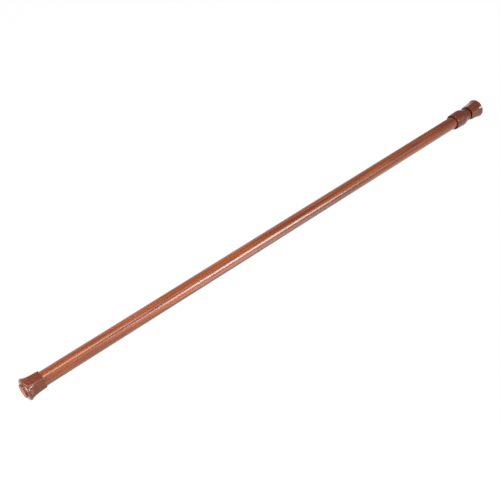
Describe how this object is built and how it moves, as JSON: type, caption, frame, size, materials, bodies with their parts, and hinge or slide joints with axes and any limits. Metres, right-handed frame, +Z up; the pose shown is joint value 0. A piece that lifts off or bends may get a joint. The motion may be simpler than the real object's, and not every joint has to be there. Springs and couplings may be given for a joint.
{
  "type": "spring tension rod",
  "caption": "Telescopic rod of two steel tubes in wood-grain film, with a spring, twist lock, mouth collar and a flared rubber foot at each end; wedges between two walls to hang curtains",
  "frame": {"origin": "centre of the outer foot's contact face, on the rod's axis", "axes": "+X along the rod's axis from the outer foot to the inner foot, +Z up, +Y across; the rod is at its shortest length"},
  "size_m": [0.7, 0.024, 0.024],
  "materials": {
    "wood_film": "glossy wood-grain film on steel tube",
    "foot_rubber": "satin brown moulded rubber",
    "collar_plastic": "semi-gloss brown moulded plastic",
    "nylon": "plain natural nylon",
    "acetal": "plain black acetal",
    "steel": "zinc-plated steel",
    "spring_steel": "drawn spring wire"
  },
  "bodies": {
    "outer_tube": {"outer_tube": "wood_film", "outer_foot": "foot_rubber", "outer_end_plug": "nylon", "mouth_collar": "collar_plastic"},
    "guide_ring": {"guide_ring": "acetal"},
    "inner_tube": {"inner_tube": "wood_film", "inner_foot": "foot_rubber", "foot_reducer": "nylon", "end_bush": "nylon", "spring_stop": "nylon", "spring": "spring_steel"},
    "lock_spindle": {"lock_spindle": "steel", "piston": "acetal", "cam_cap": "steel"},
    "lock_cam": {"lock_cam": "nylon"}
  },
  "joints": [
    {"name": "telescope", "type": "slide", "parent": "outer_tube", "child": "guide_ring", "axis": [1, 0, 0], "range_m": [0, 0.5]},
    {"name": "twist", "type": "hinge", "parent": "guide_ring", "child": "inner_tube", "pos_m": [0.0781, 0, 0], "axis": [1, 0, 0], "range_deg": [-180, 180]},
    {"name": "spring_travel", "type": "slide", "parent": "inner_tube", "child": "lock_spindle", "axis": [1, 0, 0], "range_m": [0, 0.035], "stiffness_N_per_m": 1800, "springref_m": -0.0055, "deforming": ["spring"]},
    {"name": "cam_turn", "type": "hinge", "parent": "lock_spindle", "child": "lock_cam", "pos_m": [0.0287, 0, 0.0003], "axis": [1, 0, 0], "range_deg": [-180, 180]}
  ],
  "couplings": [
    {"joint": "cam_turn", "follows": "twist", "ratio": -1}
  ]
}
